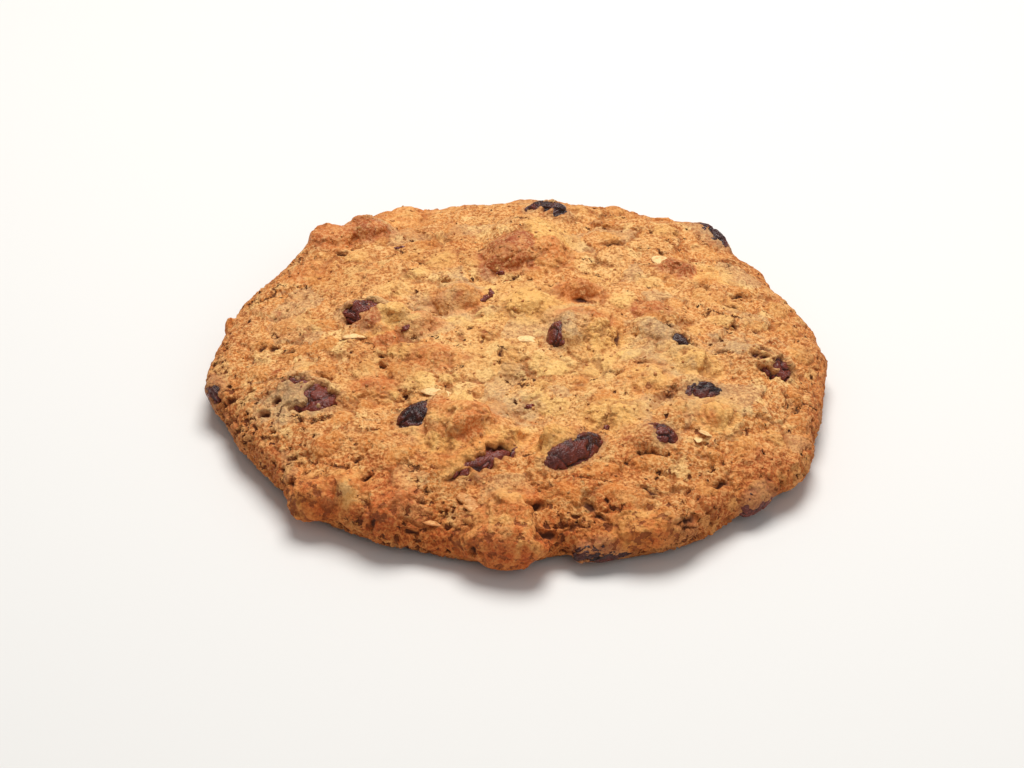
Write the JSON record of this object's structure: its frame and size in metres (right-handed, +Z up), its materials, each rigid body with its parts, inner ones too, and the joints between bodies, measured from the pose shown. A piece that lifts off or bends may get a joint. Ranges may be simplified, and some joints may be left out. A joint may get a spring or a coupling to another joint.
{
  "type": "oatmeal raisin cookie",
  "caption": "Large round oatmeal cookie with a lumpy crown, a rough side wall, a flat sole and raisins set into the dough.",
  "frame": {"origin": "middle of the cookie's outline, on the flat sole", "axes": "+Z up out of the crown, -Y towards the side with the smooth round lump on its wall, +X to the right seen from there"},
  "size_m": [0.1012, 0.101, 0.0156],
  "materials": {
    "baked_dough": "golden brown baked oat dough, rough and crumbly",
    "raisin_skin": "wrinkled purple-black dried grape skin with a dull shine"
  },
  "bodies": {
    "root": {"dough": "baked_dough", "raisin_back": "raisin_skin", "raisin_back_left": "raisin_skin", "raisin_back_right": "raisin_skin", "raisin_centre": "raisin_skin", "raisin_front_centre": "raisin_skin", "raisin_front_edge": "raisin_skin", "raisin_front_left": "raisin_skin", "raisin_front_right": "raisin_skin", "raisin_left": "raisin_skin", "raisin_left_centre": "raisin_skin", "raisin_left_edge": "raisin_skin", "raisin_right": "raisin_skin", "raisin_right_centre": "raisin_skin", "raisin_right_edge": "raisin_skin", "raisin_right_rim": "raisin_skin"}
  },
  "joints": []
}
